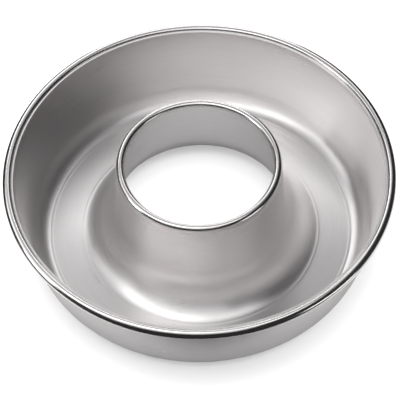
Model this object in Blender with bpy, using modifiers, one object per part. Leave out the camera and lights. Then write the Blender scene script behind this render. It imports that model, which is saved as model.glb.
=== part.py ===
"""Ring cake pan: one pressed steel sheet whose two rims are rolled round hidden wires.

The sheet is a turned shape. Its middle line is a chain of tangent arcs joined by
straight runs: it starts inside the curl on the centre tube, goes down the tube, over
the flat floor ring, up the flared wall and over a small shoulder, and ends inside the
curl on the outer rim. Only the flat floor breaks the chain: the broad foot of the tube
and that of the wall each meet it at a slight crease. Offsetting that line to both sides by half the sheet's thickness
gives the closed section that a Screw modifier turns about Z.

Units are metres. +Z is up, and the origin is at the centre of the base.
"""

import math

import bpy

# Driving dimensions, over the outside of the metal
SHEET = 0.0006
OUTER_RADIUS = 0.120
RIM_HEIGHT = 0.060
RIM_BEAD = 0.00275
TUBE_HEIGHT = 0.066
TUBE_BEAD = 0.0025
TUBE_BEAD_CENTRE = 0.0481
FLOOR_INNER = 0.0739
FLOOR_OUTER = 0.0955
TUBE_FOOT = 0.0260
WALL_FOOT = 0.0160
TUBE_CREASE = 10.0
WALL_CREASE = 13.7
SHOULDER_START = 0.1139
SHOULDER_HEIGHT = 0.0580
SHOULDER_BEND = 0.0008
LEDGE_BEND = 0.00015
WIRE_GAP = 0.0003

# Where each curl ends, in degrees from the outward direction towards up
TUBE_CURL_END = 300.0
RIM_CURL_END = -160.0

# How finely the round shapes are cut, the arcs in degrees
TURN_STEPS = 60
CURL_STEP = 30.0
FOOT_STEP = 14.0
BEND_STEP = 45.0
WIRE_SIDES = 8
SHARP_ANGLE = 50.0

PAN_STEEL = {"colour": (0.74, 0.73, 0.72, 1.0), "roughness": 0.28, "metallic": 1.0}
WIRE_STEEL = {"colour": (0.58, 0.57, 0.56, 1.0), "roughness": 0.40, "metallic": 1.0}

HALF = SHEET / 2
RIM_CENTRE = (OUTER_RADIUS - RIM_BEAD, RIM_HEIGHT - RIM_BEAD)
TUBE_CENTRE = (TUBE_BEAD_CENTRE, TUBE_HEIGHT - TUBE_BEAD)
TUBE_FOOT_CENTRE = (
    FLOOR_INNER + TUBE_FOOT * math.sin(math.radians(TUBE_CREASE)),
    TUBE_FOOT * math.cos(math.radians(TUBE_CREASE)),
)
WALL_FOOT_CENTRE = (
    FLOOR_OUTER - WALL_FOOT * math.sin(math.radians(WALL_CREASE)),
    WALL_FOOT * math.cos(math.radians(WALL_CREASE)),
)
SHOULDER_CENTRE = (SHOULDER_START, SHOULDER_HEIGHT - SHOULDER_BEND)


def clear_scene():
    for item in list(bpy.data.objects):
        bpy.data.objects.remove(item, do_unlink=True)


def new_collection(name):
    collection = bpy.data.collections.new(name)
    bpy.context.scene.collection.children.link(collection)
    return collection


def new_material(name, finish):
    material = bpy.data.materials.new(name)
    material.use_nodes = True
    shader = material.node_tree.nodes["Principled BSDF"]
    shader.inputs["Base Color"].default_value = finish["colour"]
    shader.inputs["Roughness"].default_value = finish["roughness"]
    shader.inputs["Metallic"].default_value = finish["metallic"]
    return material


def arc_stops(start, end, step):
    """Angles from start to end: both ends, and every whole multiple of step between them."""
    low, high = min(start, end), max(start, end)
    first = math.floor(low / step) + 1
    last = math.ceil(high / step) - 1
    between = [index * step for index in range(first, last + 1)]
    angles = [low] + between + [high]
    return angles if end > start else angles[::-1]


def arc(centre, radius, start, end, step):
    """Points of a middle-line arc, each with the normal of the sheet's upper side.

    The upper side is outside an arc that runs clockwise, and inside one that runs
    counter-clockwise. Angles are in degrees, from the outward direction towards up.
    """
    side = 1.0 if end < start else -1.0
    points = []
    for angle in arc_stops(start, end, step):
        across, up = math.cos(math.radians(angle)), math.sin(math.radians(angle))
        place = (centre[0] + radius * across, centre[1] + radius * up)
        points.append((place, (side * across, side * up)))
    return points


def bearing(start, end):
    """Direction from one point to another, in degrees from outward towards up."""
    return math.degrees(math.atan2(end[1] - start[1], end[0] - start[0]))


def crossing_swing(first_centre, first_radius, second_centre, second_radius):
    """Angle between the line of centres and the tangent that passes between two circles."""
    reach = math.dist(first_centre, second_centre)
    return math.degrees(math.asin((first_radius + second_radius) / reach))


def sheet_line():
    """The sheet's middle line, from the end of the tube curl to the end of the rim curl."""
    tube_curl, rim_curl = TUBE_BEAD - HALF, RIM_BEAD - HALF
    tube_foot, wall_foot = TUBE_FOOT - HALF, WALL_FOOT - HALF
    shoulder, ledge = SHOULDER_BEND - HALF, LEDGE_BEND + HALF

    # Headings of the two straight sides, each tangent to the bends at its ends
    tube_heading = bearing(TUBE_CENTRE, TUBE_FOOT_CENTRE) - crossing_swing(
        TUBE_CENTRE, tube_curl, TUBE_FOOT_CENTRE, tube_foot
    )
    wall_heading = bearing(WALL_FOOT_CENTRE, SHOULDER_CENTRE) + crossing_swing(
        WALL_FOOT_CENTRE, wall_foot, SHOULDER_CENTRE, shoulder
    )

    # The ledge behind the shoulder bends up into the rim curl, tangent to both
    ledge_level = SHOULDER_HEIGHT - HALF + ledge
    rise = ledge_level - RIM_CENTRE[1]
    ledge_centre = (RIM_CENTRE[0] - math.sqrt((rim_curl + ledge) ** 2 - rise**2), ledge_level)
    curl_start = bearing(RIM_CENTRE, ledge_centre)

    line = arc(TUBE_CENTRE, tube_curl, TUBE_CURL_END, tube_heading + 90, CURL_STEP)
    line += arc(TUBE_FOOT_CENTRE, tube_foot, tube_heading + 270, 270 - TUBE_CREASE, FOOT_STEP)
    line += arc(WALL_FOOT_CENTRE, wall_foot, 270 + WALL_CREASE, wall_heading + 270, FOOT_STEP)
    line += arc(SHOULDER_CENTRE, shoulder, wall_heading + 90, 90, BEND_STEP)
    line += arc(ledge_centre, ledge, 270, curl_start + 180, BEND_STEP)
    line += arc(RIM_CENTRE, rim_curl, curl_start, RIM_CURL_END, CURL_STEP)[1:]
    return line


def sheet_section():
    """The closed section: out along the upper side, and back along the under side."""
    line = sheet_line()
    upper = [(p[0] + HALF * n[0], p[1] + HALF * n[1]) for p, n in line]
    under = [(p[0] - HALF * n[0], p[1] - HALF * n[1]) for p, n in line]
    return upper + under[::-1]


def smooth(mesh):
    mesh.shade_smooth()
    mesh.set_sharp_from_angle(angle=math.radians(SHARP_ANGLE))


def make_pan_body(collection):
    section = sheet_section()
    count = len(section)
    mesh = bpy.data.meshes.new("pan_body")
    corners = [(radius, 0.0, height) for radius, height in section]
    edges = [(index, (index + 1) % count) for index in range(count)]
    mesh.from_pydata(corners, edges, [])
    pan = bpy.data.objects.new("pan_body", mesh)
    collection.objects.link(pan)
    turn = pan.modifiers.new("turn", "SCREW")
    turn.axis = "Z"
    turn.angle = math.tau
    turn.steps = TURN_STEPS
    turn.render_steps = TURN_STEPS
    turn.use_merge_vertices = True
    turn.merge_threshold = 0.00001
    turn.use_smooth_shade = True
    mesh.materials.append(new_material("pan_steel", PAN_STEEL))
    return pan


def make_rim_wire(collection, name, centre, bead):
    """The wire that a rim is rolled round: a closed ring that fills its curl."""
    bpy.ops.mesh.primitive_torus_add(
        major_segments=TURN_STEPS,
        minor_segments=WIRE_SIDES,
        major_radius=centre[0],
        minor_radius=bead - SHEET - WIRE_GAP,
        location=(0.0, 0.0, centre[1]),
    )
    wire = bpy.context.active_object
    wire.name = name
    wire.data.name = name
    smooth(wire.data)
    wire.data.materials.append(new_material(name, WIRE_STEEL))
    for owner in list(wire.users_collection):
        owner.objects.unlink(wire)
    collection.objects.link(wire)
    return wire


def main():
    clear_scene()
    collection = new_collection("ring_cake_pan")
    pan = make_pan_body(collection)
    for name, centre, bead in (
        ("outer_rim_wire", RIM_CENTRE, RIM_BEAD),
        ("tube_rim_wire", TUBE_CENTRE, TUBE_BEAD),
    ):
        make_rim_wire(collection, name, centre, bead).parent = pan


main()
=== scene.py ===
"""Looks of the ring cake pan: the fine turned sheet, its rim wires, floor, light and camera.

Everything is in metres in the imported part's own frame, +Z up, origin at the centre of
the base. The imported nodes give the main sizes, and this script turns the same section
much more finely, with the press marks and the waviness that the real sheet has.
"""

import math

import bpy
from mathutils import Matrix, Vector


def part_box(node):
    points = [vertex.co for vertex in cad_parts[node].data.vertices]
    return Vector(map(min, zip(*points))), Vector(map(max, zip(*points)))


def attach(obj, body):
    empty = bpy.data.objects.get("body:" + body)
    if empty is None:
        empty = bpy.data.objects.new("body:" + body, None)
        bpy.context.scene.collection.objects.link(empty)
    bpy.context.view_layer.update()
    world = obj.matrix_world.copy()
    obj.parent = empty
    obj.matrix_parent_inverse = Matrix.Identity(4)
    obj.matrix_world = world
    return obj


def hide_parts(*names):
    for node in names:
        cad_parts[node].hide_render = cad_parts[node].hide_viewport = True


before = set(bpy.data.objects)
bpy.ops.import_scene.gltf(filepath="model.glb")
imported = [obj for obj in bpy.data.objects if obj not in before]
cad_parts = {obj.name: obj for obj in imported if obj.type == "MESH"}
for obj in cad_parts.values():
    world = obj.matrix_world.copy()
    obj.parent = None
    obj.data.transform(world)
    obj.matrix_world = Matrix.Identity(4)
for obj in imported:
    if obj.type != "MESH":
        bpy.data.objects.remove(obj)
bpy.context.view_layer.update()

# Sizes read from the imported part
pan_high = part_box("pan_body")[1]
rim_wire_low, rim_wire_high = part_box("outer_rim_wire")
tube_wire_low, tube_wire_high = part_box("tube_rim_wire")
OUTER_RADIUS = pan_high.x
TUBE_HEIGHT = pan_high.z
RIM_WIRE = (rim_wire_high.z - rim_wire_low.z) / 2
TUBE_WIRE = (tube_wire_high.z - tube_wire_low.z) / 2
RIM_CENTRE = (rim_wire_high.x - RIM_WIRE, (rim_wire_high.z + rim_wire_low.z) / 2)
TUBE_CENTRE = (tube_wire_high.x - TUBE_WIRE, (tube_wire_high.z + tube_wire_low.z) / 2)

# The sheet's own sizes
SHEET = 0.0006
HALF = SHEET / 2
RIM_BEAD = OUTER_RADIUS - RIM_CENTRE[0]
TUBE_BEAD = TUBE_HEIGHT - TUBE_CENTRE[1]
FLOOR_INNER = 0.0739
FLOOR_OUTER = 0.0955
TUBE_FOOT = 0.0260
WALL_FOOT = 0.0160
TUBE_CREASE = 10.0
WALL_CREASE = 13.7
TUBE_CREASE_WIDTH = 0.0030
WALL_CREASE_WIDTH = 0.0015
CREASE_REACH = 0.0050
SHOULDER_START = 0.1139
SHOULDER_HEIGHT = 0.0580
SHOULDER_BEND = 0.0008
LEDGE_BEND = 0.00015
TUBE_CURL_END = 300.0
RIM_CURL_END = -160.0
TUBE_FOOT_CENTRE = (
    FLOOR_INNER + TUBE_FOOT * math.sin(math.radians(TUBE_CREASE)),
    TUBE_FOOT * math.cos(math.radians(TUBE_CREASE)),
)
WALL_FOOT_CENTRE = (
    FLOOR_OUTER - WALL_FOOT * math.sin(math.radians(WALL_CREASE)),
    WALL_FOOT * math.cos(math.radians(WALL_CREASE)),
)
SHOULDER_CENTRE = (SHOULDER_START, SHOULDER_HEIGHT - SHOULDER_BEND)

# Press marks: shallow rings where the flat floor starts and ends
MARK_DEPTH = 0.00006
MARK_WIDTH = 0.0005

TURN_STEPS = 240
CURL_STEP = 9.0
FOOT_STEP = 3.0
BEND_STEP = 15.0
WIRE_STEP = 15.0
SIDE_STEPS = 10
FLOOR_STEPS = 8
MARK_STEPS = 6
SHARP_ANGLE = 50.0

# Looks
STEEL_DULL = (0.90, 0.875, 0.875, 1)
STEEL_BRIGHT = (0.97, 0.95, 0.95, 1)
SATIN_ROUGHNESS = 0.30
ROLLED_ROUGHNESS = 0.20
WIRE_ROUGHNESS = 0.35
SATIN_SWING = 0.02
ROLLED_SWING = 0.015
WIRE_SWING = 0.05
SATIN_GRAIN = 0.000004
ROLLED_GRAIN = 0.000001
SATIN_WAVE = 0.00004
ROLLED_WAVE = 0.00001
SATIN_DRAW = 0.7
ROLLED_DRAW = 0.3
WIRE_DRAW = 0.0
QUARTER_TURN = 0.25

# Noise in the steel: the grain's two scales are along and across its lines
NOISE_MIDDLE = (0.3, 0.7)
GRAIN_AROUND = 3.0
GRAIN_ACROSS = 2600.0
GRAIN_DETAIL = 3.0
GRAIN_DULLEST = 0.2
PATCH_SCALE = 22.0
PATCH_DETAIL = 3.0
WAVE_SCALE = 14.0
WAVE_DETAIL = 1.0

# Studio
OVERHEAD_HEIGHT = 0.35
FLOOR_LIGHT = 3.2
FLOOR_LIGHT_SPREAD = 60.0
FLOOR_LIGHT_FACING = (-0.12, 0.0, -1.0)
FLOOR_FILL = 1.4
FLOOR_SIZE = 12.0
FLOOR_LEVEL = -0.0003
CARD_LEVEL = -0.0002
HOLE_CARD_LEVEL = -0.0001
FLOOR_SHADE = 0.88
CARD_SHADE = 0.62
# The card under the hole is darker than the grey card: painted shade for the floor inside the tube's
# hole
HOLE_PAINTED_SHADE = 0.40
HOLE_CARD_REACH = 0.065
MOTTLE_SHADE = 0.98
MOTTLE_SCALE = 60.0
MOTTLE_DETAIL = 2.0
WORLD_GLOW = 0.02

# Camera, found from the rim's, tube's and base's ellipses
CAMERA_REACH = 1.0072
CAMERA_RISE = 52.42
CAMERA_AIM_BELOW = 1.013
CAMERA_ROLL = -1.65
CAMERA_LENS = 148.55
CAMERA_SENSOR = 36.0
CAMERA_CLIP = (0.01, 50.0)


def arc_stops(start, end, step):
    """Angles from start to end in even steps of about the given size."""
    count = max(1, round(abs(end - start) / step))
    return [start + (end - start) * index / count for index in range(count + 1)]


def arc(centre, radius, start, end, step):
    """Points of a middle-line arc, each with the normal of the sheet's upper side."""
    side = 1.0 if end < start else -1.0
    points = []
    for angle in arc_stops(start, end, step):
        across, up = math.cos(math.radians(angle)), math.sin(math.radians(angle))
        place = (centre[0] + radius * across, centre[1] + radius * up)
        points.append((place, (side * across, side * up)))
    return points


def straight(start, end, steps):
    """Points strictly between two ends of a straight run, with the run's upper normal."""
    (first, normal), (last, _) = start, end
    points = []
    for index in range(1, steps):
        share = index / steps
        place = (first[0] + (last[0] - first[0]) * share, first[1] + (last[1] - first[1]) * share)
        points.append((place, normal))
    return points


def bearing(start, end):
    """Direction from one point to another, in degrees."""
    return math.degrees(math.atan2(end[1] - start[1], end[0] - start[0]))


def crossing_swing(first_centre, first_radius, second_centre, second_radius):
    """Angle between the line of centres and the tangent that passes between two circles."""
    reach = math.dist(first_centre, second_centre)
    return math.degrees(math.asin((first_radius + second_radius) / reach))


def floor_run():
    """The flat floor, with a shallow ring pressed into it just inside each of its edges."""
    reach = MARK_WIDTH * 2
    inner_mark, outer_mark = FLOOR_INNER + reach, FLOOR_OUTER - reach
    first, last = inner_mark + reach, outer_mark - reach
    stops = [inner_mark + reach * (index / MARK_STEPS - 1) for index in range(1, 2 * MARK_STEPS)]
    stops += [first + (last - first) * index / FLOOR_STEPS for index in range(FLOOR_STEPS + 1)]
    stops += [outer_mark + reach * (index / MARK_STEPS - 1) for index in range(1, 2 * MARK_STEPS)]
    points = []
    for radius in stops:
        dip = 0.0
        for mark in (inner_mark, outer_mark):
            dip += MARK_DEPTH * math.exp(-(((radius - mark) / MARK_WIDTH) ** 2))
        points.append(((radius, HALF + dip), (0.0, 1.0)))
    return points


def ease_crease(points, edge, outward, crease, width):
    """Points near a foot's crease, lifted so that its slope fades out over the given width.

    outward is 1 where the flat floor lies outside the edge, and -1 where it lies inside.
    """
    slope = math.tan(math.radians(crease))
    eased = []
    for (radius, height), normal in points:
        offset = outward * (radius - edge)
        if abs(offset) < width and height < CREASE_REACH:
            height += slope * (width - offset) ** 2 / (4 * width) - slope * max(0.0, -offset)
        eased.append(((radius, height), normal))
    return eased


def sheet_line():
    """The sheet's middle line with its upper normals, and how many points each curl has."""
    tube_curl, rim_curl = TUBE_BEAD - HALF, RIM_BEAD - HALF
    tube_foot, wall_foot = TUBE_FOOT - HALF, WALL_FOOT - HALF
    shoulder, ledge = SHOULDER_BEND - HALF, LEDGE_BEND + HALF
    tube_heading = bearing(TUBE_CENTRE, TUBE_FOOT_CENTRE) - crossing_swing(
        TUBE_CENTRE, tube_curl, TUBE_FOOT_CENTRE, tube_foot
    )
    wall_heading = bearing(WALL_FOOT_CENTRE, SHOULDER_CENTRE) + crossing_swing(
        WALL_FOOT_CENTRE, wall_foot, SHOULDER_CENTRE, shoulder
    )
    ledge_level = SHOULDER_HEIGHT - HALF + ledge
    rise = ledge_level - RIM_CENTRE[1]
    ledge_centre = (RIM_CENTRE[0] - math.sqrt((rim_curl + ledge) ** 2 - rise**2), ledge_level)
    curl_start = bearing(RIM_CENTRE, ledge_centre)

    tube_top = arc(TUBE_CENTRE, tube_curl, TUBE_CURL_END, tube_heading + 90, CURL_STEP)
    foot = arc(TUBE_FOOT_CENTRE, tube_foot, tube_heading + 270, 270 - TUBE_CREASE, FOOT_STEP)
    corner = arc(WALL_FOOT_CENTRE, wall_foot, 270 + WALL_CREASE, wall_heading + 270, FOOT_STEP)
    bend = arc(SHOULDER_CENTRE, shoulder, wall_heading + 90, 90, BEND_STEP)
    step_up = arc(ledge_centre, ledge, 270, curl_start + 180, BEND_STEP)
    rim_top = arc(RIM_CENTRE, rim_curl, curl_start, RIM_CURL_END, CURL_STEP)[1:]
    line = tube_top + straight(tube_top[-1], foot[0], SIDE_STEPS)
    line += foot + floor_run()
    line += corner + straight(corner[-1], bend[0], SIDE_STEPS)
    line += bend + step_up + rim_top
    line = ease_crease(line, FLOOR_INNER, 1, TUBE_CREASE, TUBE_CREASE_WIDTH)
    line = ease_crease(line, FLOOR_OUTER, -1, WALL_CREASE, WALL_CREASE_WIDTH)
    return line, len(tube_top), len(rim_top)


def turn(name, section, finishes, steps):
    """A closed section of (radius, height) points turned about Z into one closed mesh.

    Each edge of the section has its own finish, the number of a material slot.
    """
    count = len(section)
    corners, faces = [], []
    for step in range(steps):
        angle = math.tau * step / steps
        across, along = math.cos(angle), math.sin(angle)
        corners += [(radius * across, radius * along, height) for radius, height in section]
        here, there = step * count, (step + 1) % steps * count
        for index in range(count):
            after = (index + 1) % count
            faces.append((here + index, here + after, there + after, there + index))
    mesh = bpy.data.meshes.new(name)
    mesh.from_pydata(corners, [], faces)
    mesh.polygons.foreach_set("material_index", finishes * steps)
    mesh.shade_smooth()
    mesh.set_sharp_from_angle(angle=math.radians(SHARP_ANGLE))
    piece = bpy.data.objects.new(name, mesh)
    bpy.context.scene.collection.objects.link(piece)
    return piece


def make_sheet():
    """The sheet, offset to both sides of its line; finish 0 is satin and 1 is rolled."""
    line, tube_count, rim_count = sheet_line()
    upper = [(p[0] + HALF * n[0], p[1] + HALF * n[1]) for p, n in line]
    under = [(p[0] - HALF * n[0], p[1] - HALF * n[1]) for p, n in line]
    plain_count = len(line) - tube_count - rim_count
    one_side = [1] * tube_count + [0] * plain_count + [1] * rim_count
    return turn("pressed_sheet", upper + under[::-1], one_side + one_side[::-1], TURN_STEPS)


def make_wire(name, centre, radius):
    section = []
    for angle in arc_stops(0, -360, WIRE_STEP)[:-1]:
        across, up = math.cos(math.radians(angle)), math.sin(math.radians(angle))
        section.append((centre[0] + radius * across, centre[1] + radius * up))
    return turn(name, section, [0] * len(section), TURN_STEPS)


def add_node(tree, kind, **settings):
    node = tree.nodes.new(kind)
    for key, value in settings.items():
        setattr(node, key, value)
    return node


def calculate(tree, operation, first, second=None):
    """A math node; each input is a number or another node's output."""
    node = add_node(tree, "ShaderNodeMath", operation=operation)
    for socket, value in zip(node.inputs, (first, second)):
        if value is None:
            continue
        if isinstance(value, (int, float)):
            socket.default_value = value
        else:
            tree.links.new(value, socket)
    return node.outputs[0]


def spread(tree, value, low, high):
    """Noise's middle range stretched over low to high."""
    node = add_node(tree, "ShaderNodeMapRange")
    node.inputs["From Min"].default_value = NOISE_MIDDLE[0]
    node.inputs["From Max"].default_value = NOISE_MIDDLE[1]
    node.inputs["To Min"].default_value = low
    node.inputs["To Max"].default_value = high
    tree.links.new(value, node.inputs["Value"])
    return node.outputs["Result"]


def ring_noise(tree, place, around, across, detail):
    """Noise drawn out round the pan's axis, as the lines that spinning and polishing leave.

    It is read on a unit circle in the plan, scaled by around, with radius and height
    scaled by across, so it closes on itself without a seam.
    """
    apart = add_node(tree, "ShaderNodeSeparateXYZ")
    tree.links.new(place, apart.inputs[0])
    x, y, z = apart.outputs
    flat = calculate(tree, "ADD", calculate(tree, "MULTIPLY", x, x), calculate(tree, "MULTIPLY", y, y))
    radius = calculate(tree, "SQRT", flat)
    circle = add_node(tree, "ShaderNodeCombineXYZ")
    shrink = calculate(tree, "DIVIDE", around, radius)
    tree.links.new(calculate(tree, "MULTIPLY", x, shrink), circle.inputs[0])
    tree.links.new(calculate(tree, "MULTIPLY", y, shrink), circle.inputs[1])
    tree.links.new(calculate(tree, "MULTIPLY", radius, across), circle.inputs[2])
    noise = add_node(tree, "ShaderNodeTexNoise", noise_dimensions="4D")
    noise.inputs["Scale"].default_value = 1
    noise.inputs["Detail"].default_value = detail
    tree.links.new(circle.outputs[0], noise.inputs["Vector"])
    tree.links.new(calculate(tree, "MULTIPLY", z, across), noise.inputs["W"])
    return noise.outputs["Fac"]


def cloud(tree, place, scale, detail):
    """Even noise with no direction."""
    noise = add_node(tree, "ShaderNodeTexNoise")
    noise.inputs["Scale"].default_value = scale
    noise.inputs["Detail"].default_value = detail
    tree.links.new(place, noise.inputs["Vector"])
    return noise.outputs["Fac"]


def new_material(name):
    """A material with its node tree, its shader and the place it is read at."""
    material = bpy.data.materials.new(name)
    material.use_nodes = True
    tree = material.node_tree
    place = add_node(tree, "ShaderNodeTexCoord").outputs["Object"]
    return material, tree, tree.nodes["Principled BSDF"], place


def blend_colour(tree, shader, dark, light, share):
    blend = add_node(tree, "ShaderNodeMix", data_type="RGBA")
    blend.inputs["A"].default_value = dark
    blend.inputs["B"].default_value = light
    tree.links.new(share, blend.inputs["Factor"])
    tree.links.new(blend.outputs["Result"], shader.inputs["Base Color"])


def bump(tree, height, distance):
    node = add_node(tree, "ShaderNodeBump")
    node.inputs["Strength"].default_value = 1
    node.inputs["Distance"].default_value = distance
    tree.links.new(height, node.inputs["Height"])
    return node


def steel_material(name, roughness, swing, grain, wave_depth, draw):
    """Bright steel with a fine ring grain, patches of slightly duller polish and faint waves.

    swing is how far the roughness strays, and draw how strongly the grain stretches highlights.
    """
    material, tree, shader, place = new_material(name)
    lines = ring_noise(tree, place, GRAIN_AROUND, GRAIN_ACROSS, GRAIN_DETAIL)
    patches = cloud(tree, place, PATCH_SCALE, PATCH_DETAIL)
    blend_colour(tree, shader, STEEL_DULL, STEEL_BRIGHT, spread(tree, lines, GRAIN_DULLEST, 1.0))

    shine = calculate(
        tree,
        "ADD",
        spread(tree, patches, roughness - swing, roughness + swing),
        spread(tree, lines, -swing, swing),
    )
    tree.links.new(shine, shader.inputs["Roughness"])
    shader.inputs["Metallic"].default_value = 1
    shader.inputs["Anisotropic"].default_value = draw
    shader.inputs["Anisotropic Rotation"].default_value = QUARTER_TURN
    round_axis = add_node(tree, "ShaderNodeTangent", direction_type="RADIAL", axis="Z")
    tree.links.new(round_axis.outputs[0], shader.inputs["Tangent"])

    wave = bump(tree, cloud(tree, place, WAVE_SCALE, WAVE_DETAIL), wave_depth)
    fine = bump(tree, lines, grain)
    tree.links.new(wave.outputs["Normal"], fine.inputs["Normal"])
    tree.links.new(fine.outputs["Normal"], shader.inputs["Normal"])
    return material


def card_material(name, shade):
    """Matt card with a very faint mottle."""
    material, tree, shader, place = new_material(name)
    darker = shade * MOTTLE_SHADE
    mottle = cloud(tree, place, MOTTLE_SCALE, MOTTLE_DETAIL)
    blend_colour(tree, shader, (darker, darker, darker, 1), (shade, shade, shade, 1), mottle)
    shader.inputs["Roughness"].default_value = 1
    shader.inputs["Specular IOR Level"].default_value = 0
    return material


def area_light(name, centre, facing, size, glow):
    """A soft panel whose face, size[0] wide and size[1] deep, shines with the given glow."""
    data = bpy.data.lights.new(name, "AREA")
    data.shape = "RECTANGLE"
    data.size, data.size_y = size
    data.energy = math.pi * size[0] * size[1] * glow
    lamp = bpy.data.objects.new(name, data)
    lamp.location = centre
    lamp.rotation_euler = Vector(facing).to_track_quat("-Z", "Y").to_euler()
    lamp.visible_camera = False
    bpy.context.scene.collection.objects.link(lamp)


def floor_light(name, strength, width, shadows, lit):
    """A distant light, width degrees across, that lights only the pieces in lit."""
    data = bpy.data.lights.new(name, "SUN")
    data.energy = strength
    data.angle = math.radians(width)
    data.use_shadow = shadows
    lamp = bpy.data.objects.new(name, data)
    lamp.rotation_euler = Vector(FLOOR_LIGHT_FACING).to_track_quat("-Z", "Y").to_euler()
    bpy.context.scene.collection.objects.link(lamp)
    receivers = bpy.data.collections.new(name + "_receivers")
    for piece in lit:
        receivers.objects.link(piece)
    lamp.light_linking.receiver_collection = receivers


def reflection_card(name, left, right, front, back, low, shade):
    """A card under the pan that only the steel's reflections see, dark beyond its edges."""
    corners = [(left, front, low), (right, front, low), (right, back, low), (left, back, low)]
    mesh = bpy.data.meshes.new(name)
    mesh.from_pydata(corners, [], [(0, 1, 2, 3)])
    mesh.materials.append(card_material(name, shade))
    card = bpy.data.objects.new(name, mesh)
    bpy.context.scene.collection.objects.link(card)
    card.visible_camera = False
    card.visible_diffuse = False
    card.visible_shadow = False
    return card


def overhead(name, left, right, front, back, glow):
    """A panel level above the pan, given by its edges."""
    centre = ((left + right) / 2, (front + back) / 2, OVERHEAD_HEIGHT)
    area_light(name, centre, (0, 0, -1), (right - left, back - front), glow)


def make_camera():
    """A long lens in front of the pan, looking down on it and rolled very slightly."""
    data = bpy.data.cameras.new("camera")
    data.lens = CAMERA_LENS
    data.sensor_width = CAMERA_SENSOR
    data.clip_start, data.clip_end = CAMERA_CLIP
    camera = bpy.data.objects.new("camera", data)
    bpy.context.scene.collection.objects.link(camera)
    rise = math.radians(CAMERA_RISE)
    centre = Vector((0, 0, RIM_CENTRE[1]))
    camera.location = centre + CAMERA_REACH * Vector((0, -math.cos(rise), math.sin(rise)))
    tilt = math.radians(90 - CAMERA_RISE - CAMERA_AIM_BELOW)
    turned = Matrix.Rotation(tilt, 3, "X") @ Matrix.Rotation(math.radians(CAMERA_ROLL), 3, "Z")
    camera.rotation_euler = turned.to_euler()
    bpy.context.scene.camera = camera


sheet = make_sheet()
for name, roughness, swing, grain, wave_depth, draw in (
    ("satin_steel", SATIN_ROUGHNESS, SATIN_SWING, SATIN_GRAIN, SATIN_WAVE, SATIN_DRAW),
    ("rolled_steel", ROLLED_ROUGHNESS, ROLLED_SWING, ROLLED_GRAIN, ROLLED_WAVE, ROLLED_DRAW),
):
    sheet.data.materials.append(steel_material(name, roughness, swing, grain, wave_depth, draw))
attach(sheet, "root")
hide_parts("pan_body")
wire_steel = steel_material(
    "wire_steel", WIRE_ROUGHNESS, WIRE_SWING, ROLLED_GRAIN, ROLLED_WAVE, WIRE_DRAW
)
for name, node, centre, radius in (
    ("outer_wire_ring", "outer_rim_wire", RIM_CENTRE, RIM_WIRE),
    ("tube_wire_ring", "tube_rim_wire", TUBE_CENTRE, TUBE_WIRE),
):
    wire = make_wire(name, centre, radius)
    wire.data.materials.append(wire_steel)
    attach(wire, "root")
    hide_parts(node)

bpy.ops.mesh.primitive_plane_add(size=FLOOR_SIZE, location=(0, 0, FLOOR_LEVEL))
floor = bpy.context.active_object
floor.name = "studio_floor"
floor.data.materials.append(card_material("white_card", FLOOR_SHADE))

# Panels overhead: left, right, front and back edge, then glow
overhead("front_panel", -0.30, 0.10, -0.30, -0.12, 0.6)
overhead("front_strip", -0.30, 0.00, -0.12, 0.00, 2.0)
overhead("front_strip_right", 0.00, 0.15, -0.12, 0.00, 1.2)
overhead("left_panel", -0.60, -0.30, -0.12, 0.25, 1.3)
overhead("left_middle_panel", -0.30, -0.15, 0.00, 0.25, 0.5)
overhead("middle_panel", -0.15, 0.15, 0.00, 0.25, 0.3)
overhead("back_left_panel", -0.30, -0.15, 0.25, 0.60, 1.5)
overhead("back_panel", -0.15, 0.15, 0.25, 0.60, 1.3)
area_light("left_card", (-0.60, -0.10, 0.275), (1, 0, 0), (0.2, 0.15), 3.5)
area_light("right_card", (0.60, -0.40, 0.10), (-1, 0, 0), (0.4, 0.2), 1.5)
area_light("back_card", (0, 0.60, 0.10), (0, -1, 0), (0.4, 0.2), 2.0)

# The floor has lights of its own, so the white card stays white beside darker steel
floor.visible_glossy = False
grey_card = reflection_card("grey_card", -0.20, 0.45, -0.128, 0.20, CARD_LEVEL, CARD_SHADE)
# Painted shade: a darker card under the tube's hole, seen only in reflections, stands in for the shade
# there
hole_painted_shade_card = reflection_card(
    "hole_painted_shade_card",
    -HOLE_CARD_REACH,
    HOLE_CARD_REACH,
    -HOLE_CARD_REACH,
    HOLE_CARD_REACH,
    HOLE_CARD_LEVEL,
    HOLE_PAINTED_SHADE,
)
floor_light("floor_light", FLOOR_LIGHT, FLOOR_LIGHT_SPREAD, True, (floor, grey_card, hole_painted_shade_card))
floor_light("floor_fill", FLOOR_FILL, 0, False, (floor,))

make_camera()
world = bpy.data.worlds.new("studio")
bpy.context.scene.world = world
world.use_nodes = True
world.node_tree.nodes["Background"].inputs["Color"].default_value = (1, 1, 1, 1)
world.node_tree.nodes["Background"].inputs["Strength"].default_value = WORLD_GLOW
bpy.context.scene.view_settings.view_transform = "Standard"
